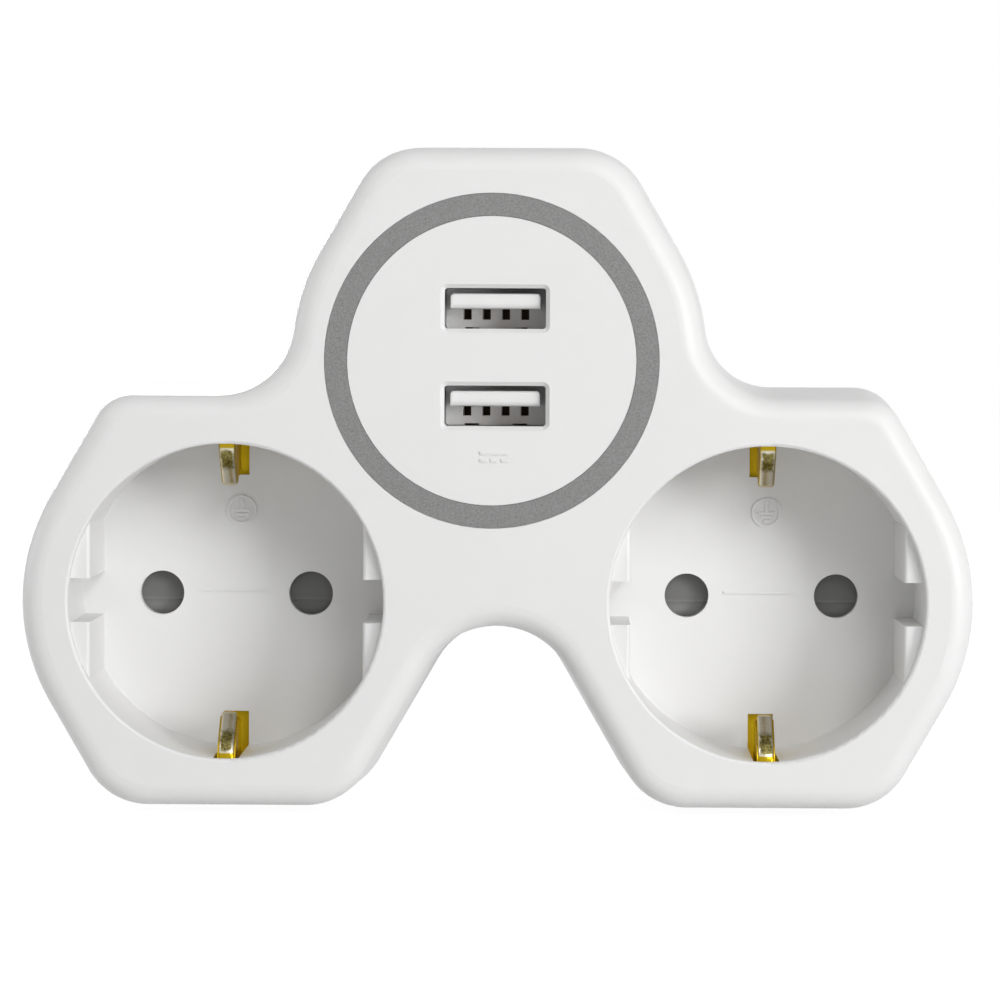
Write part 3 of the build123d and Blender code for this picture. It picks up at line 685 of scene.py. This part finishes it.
class ADAPTER_OT_earth_straps(bpy.types.Operator):
    """Make the brass earth straps with their crowned spring clips"""

    bl_idname = "adapter.earth_straps"
    bl_label = "Earth straps"

    def execute(self, context):
        sizes = context.scene.adapter_metal
        colours = context.scene.adapter_colours
        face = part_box("accent_ring")[0].y
        low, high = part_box("earth_strap_right")
        socket = (low + high) / 2
        brass = clip_brass(colours, sizes, face, socket.x, socket.z)
        for side in SOCKETS:
            low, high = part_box(f"earth_strap_{side}")
            middle = (low + high) / 2
            back = high.y - sizes.sheet / 2
            end = high.z - middle.z
            mesh = bmesh.new()
            self.base(mesh, sizes, middle, back, end)
            for up in (1, -1):
                self.clip(mesh, sizes, middle, face, back, end, up)
            bmesh.ops.recalc_face_normals(mesh, faces=mesh.faces)
            new_piece(f"earth_spring_{side}", mesh, brass, "housing", f"earth_strap_{side}")
        return {"FINISHED"}

    def base(self, mesh, sizes, middle, back, end):
        """Hat-shaped strap behind the well."""
        foot = back - sizes.base_rise
        riser = end - sizes.foot
        bend = sizes.bend
        corners = [
            (foot, middle.z + end, 0),
            (foot, middle.z + riser, bend),
            (back, middle.z + riser, bend),
            (back, middle.z - riser, bend),
            (foot, middle.z - riser, bend),
            (foot, middle.z - end, 0),
        ]
        section = strip_section(sizes.base_width, sizes.sheet, sizes.edge)
        strip(mesh, middle.x, rounded_path(corners), section)

    def clip(self, mesh, sizes, middle, face, back, end, up):
        """Folded spring clip that comes out of its slot into the well, above or below."""
        foot = back - sizes.base_rise
        leg = end - sizes.sheet
        rim = face + sizes.clip_lip + sizes.sheet / 2
        nose = (face + sizes.clip_nose_depth, sizes.clip_nose + sizes.sheet / 2)
        corners = [
            (foot, leg, 0),
            (rim, leg, sizes.bend),
            (rim + sizes.clip_lean, leg - sizes.clip_front, sizes.clip_bend),
            (*nose, sizes.bend),
            (nose[0] + sizes.tip_depth, nose[1] + sizes.tip_rise, 0),
        ]
        band = [Vector((point.x, middle.z + up * point.y)) for point in rounded_path(corners)]
        section = strip_section(
            sizes.clip_width, sizes.sheet, sizes.clip_edge, -sizes.clip_crown * up
        )
        strip(mesh, middle.x, band, section)
        carrier = [
            Vector((foot, middle.z + up * leg)),
            Vector((rim + sizes.bend, middle.z + up * leg)),
        ]
        strip(mesh, middle.x, carrier, strip_section(sizes.leg_width, sizes.sheet, sizes.edge))
        cheek_end = nose[0] + sizes.cheek_depth
        tail = [(cheek_end, nose[1] + sizes.cheek_rise), (cheek_end, leg)]
        outline = band[1 : -ARC_STEPS - 1]
        outline += [Vector((depth, middle.z + up * height)) for depth, height in tail]
        half = sizes.clip_width / 2
        for low, high in ((-half, sizes.cheek_sheet - half), (half - sizes.cheek_sheet, half)):
            plate(mesh, outline, middle.x + low, middle.x + high, sizes.edge * up)


class ADAPTER_OT_plug(bpy.types.Operator):
    """Finish the plug's pins and earth strap"""

    bl_idname = "adapter.plug"
    bl_label = "Plug"

    def execute(self, context):
        colours = context.scene.adapter_colours
        cover_node("plug_pins", turned_metal("nickel", colours.nickel, 0.24))
        brass = sheet_metal("plug_brass", colours.brass, 0.26)
        strap = cover_node("plug_earth_strap", brass)
        soften_edges(strap, context.scene.adapter_metal.plug_strap_edge)
        return {"FINISHED"}


class ADAPTER_OT_conductors(bpy.types.Operator):
    """Finish the busbars and the earth bridge"""

    bl_idname = "adapter.conductors"
    bl_label = "Conductors"

    def execute(self, context):
        brass = sheet_metal("busbar_brass", context.scene.adapter_colours.brass, 0.3)
        for name in ("live_busbar", "neutral_busbar", "earth_bridge"):
            cover_node(name, brass)
        return {"FINISHED"}


class ADAPTER_OT_screws(bpy.types.Operator):
    """Finish the screws"""

    bl_idname = "adapter.screws"
    bl_label = "Screws"

    def execute(self, context):
        steel = turned_metal("zinc_steel", context.scene.adapter_colours.steel, 0.32)
        for name in ("housing_screws", "board_screws", "retainer_screws"):
            cover_node(name, steel)
        return {"FINISHED"}


class ADAPTER_OT_springs(bpy.types.Operator):
    """Make the shutters' springs, each with a mesh of its own"""

    bl_idname = "adapter.springs"
    bl_label = "Shutter springs"

    def execute(self, context):
        steel = turned_metal("spring_steel", context.scene.adapter_colours.steel, 0.28)
        for side in SOCKETS:
            node = f"shutter_spring_{side}"
            mesh = copied_mesh(node)
            piece = new_piece(f"spring_coil_{side}", mesh, steel, "housing", node)
            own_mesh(piece)
        return {"FINISHED"}


class ADAPTER_OT_charger(bpy.types.Operator):
    """Finish the charger board and the parts on it"""

    bl_idname = "adapter.charger"
    bl_label = "Charger board"

    def execute(self, context):
        colours = context.scene.adapter_colours
        cover_node("charger_board", solder_mask(colours.board))
        cover_node("transformer_core", plain_body("ferrite", colours.ferrite, 0.6, 0.3 * MM))
        cover_node("transformer_coil", wound_tape(colours.tape))
        sleeve = plain_body("can_sleeve", colours.can, 0.35, 0.6 * MM)
        cover_node("input_capacitor", sleeve)
        cover_node("output_capacitor", sleeve)
        cover_node("controller_chip", plain_body("chip_black", colours.black, 0.5, 0.2 * MM))
        cover_node("fuse_resistor", plain_body("resistor_blue", colours.resistor, 0.4, 0.4 * MM))
        return {"FINISHED"}


class ADAPTER_OT_stage(bpy.types.Operator):
    """Make the floor, the lamps, the even light and the camera"""

    bl_idname = "adapter.stage"
    bl_label = "Stage"

    def execute(self, context):
        stage = context.scene.adapter_stage
        self.floor(stage)
        self.sky(context.scene, stage)
        self.lamp("key_lamp", stage, right=45, up=5, share=stage.key)
        self.lamp("top_lamp", stage, right=20, up=30, share=stage.top)
        self.lamp("side_lamp", stage, right=-75, up=40, share=stage.side)
        self.lamp("rim_lamp", stage, right=-95, up=10, share=stage.rim)
        self.lamp("back_lamp", stage, right=-165, up=6, share=stage.back)
        self.camera(context.scene, stage)
        context.scene.view_settings.view_transform = "Standard"
        return {"FINISHED"}

    def floor(self, stage):
        """Pale floor that shows nearly white and keeps a soft shadow."""
        mesh = bmesh.new()
        bmesh.ops.create_grid(mesh, x_segments=1, y_segments=1, size=stage.floor_size)
        data = bpy.data.meshes.new("floor")
        mesh.to_mesh(data)
        mesh.free()
        floor = bpy.data.objects.new("floor", data)
        bpy.context.scene.collection.objects.link(floor)
        floor.location.z = CAD_BOX[0].z - stage.floor_gap
        finish = Finish("floor_paper", base_color=stage.floor, roughness=0.9)
        glow = finish.node(
            "ShaderNodeEmission", {}, {"Color": (1, 1, 1), "Strength": stage.floor_light}
        )
        paint = Wire(finish, finish.shader.outputs[0])
        share = finish.seen_rays() * stage.floor_glow
        shown = finish.node("ShaderNodeMixShader", {}, {0: share, 1: paint, 2: glow})
        finish.join(shown, finish.tree.nodes["Material Output"].inputs["Surface"])
        data.materials.append(finish.material)

    def sky(self, scene, stage):
        """Even light all round that shows white."""
        world = bpy.data.worlds.new("studio")
        world.use_nodes = True
        scene.world = world
        nodes = Nodes(world.node_tree)
        background = world.node_tree.nodes["Background"]
        nodes.join((1, 1, 1), background.inputs["Color"])
        strength = nodes.between(nodes.seen_rays(), stage.sky, 1.0)
        nodes.join(strength, background.inputs["Strength"])

    def lamp(self, name, stage, right, up, share):
        """Square lamp this many degrees right and up that gives this share of full light."""
        middle = (CAD_BOX[0] + CAD_BOX[1]) / 2
        light = bpy.data.lights.new(name, "AREA")
        light.size = stage.lamp_size
        light.energy = share * (math.pi * stage.distance) ** 2
        lamp = bpy.data.objects.new(name, light)
        turn = Euler((math.radians(-up), 0, math.radians(right)))
        lamp.location = middle + turn.to_matrix() @ Vector((0, -stage.distance, 0))
        lamp.rotation_mode = "QUATERNION"
        lamp.rotation_quaternion = (middle - lamp.location).to_track_quat("-Z", "Y")
        bpy.context.scene.collection.objects.link(lamp)

    def camera(self, scene, stage):
        """Camera in the photographer's place."""
        data = bpy.data.cameras.new("camera")
        data.lens = stage.lens
        data.sensor_width = 36
        data.clip_start = 0.01
        camera = bpy.data.objects.new("camera", data)
        view = Vector(stage.target) - Vector(stage.camera)
        camera.location = stage.camera
        camera.rotation_mode = "QUATERNION"
        roll = Quaternion((0, 0, 1), stage.roll)
        camera.rotation_quaternion = view.to_track_quat("-Z", "Y") @ roll
        scene.collection.objects.link(camera)
        scene.camera = camera


class ADAPTER_PT_panel(bpy.types.Panel):
    """Panel that lists the steps and the values they use"""

    bl_label = "Double socket adapter"
    bl_idname = "ADAPTER_PT_panel"
    bl_space_type = "VIEW_3D"
    bl_region_type = "UI"
    bl_category = "Adapter"

    def draw(self, context):
        for operator in OPERATORS:
            self.layout.operator(operator.bl_idname)
        scene = context.scene
        groups = ("adapter_metal", "adapter_mouldings", "adapter_colours", "adapter_stage")
        for group in (getattr(scene, name) for name in groups):
            box = self.layout.box()
            for name in group.__annotations__:
                box.prop(group, name)


OPERATORS = (
    ADAPTER_OT_covers,
    ADAPTER_OT_ring,
    ADAPTER_OT_ports,
    ADAPTER_OT_earth_straps,
    ADAPTER_OT_plug,
    ADAPTER_OT_conductors,
    ADAPTER_OT_screws,
    ADAPTER_OT_springs,
    ADAPTER_OT_charger,
    ADAPTER_OT_stage,
)
CLASSES = (MetalSizes, MouldingSizes, AdapterColours, StageSettings, *OPERATORS, ADAPTER_PT_panel)


def register():
    for item in CLASSES:
        bpy.utils.register_class(item)
    bpy.types.Scene.adapter_metal = PointerProperty(type=MetalSizes)
    bpy.types.Scene.adapter_mouldings = PointerProperty(type=MouldingSizes)
    bpy.types.Scene.adapter_colours = PointerProperty(type=AdapterColours)
    bpy.types.Scene.adapter_stage = PointerProperty(type=StageSettings)


def unregister():
    del bpy.types.Scene.adapter_stage
    del bpy.types.Scene.adapter_colours
    del bpy.types.Scene.adapter_mouldings
    del bpy.types.Scene.adapter_metal
    for item in reversed(CLASSES):
        bpy.utils.unregister_class(item)


def main():
    """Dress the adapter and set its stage."""
    register()
    bpy.ops.adapter.covers()
    bpy.ops.adapter.ring()
    bpy.ops.adapter.ports()
    bpy.ops.adapter.earth_straps()
    bpy.ops.adapter.plug()
    bpy.ops.adapter.conductors()
    bpy.ops.adapter.screws()
    bpy.ops.adapter.springs()
    bpy.ops.adapter.charger()
    bpy.ops.adapter.stage()


if __name__ == "__main__":
    main()
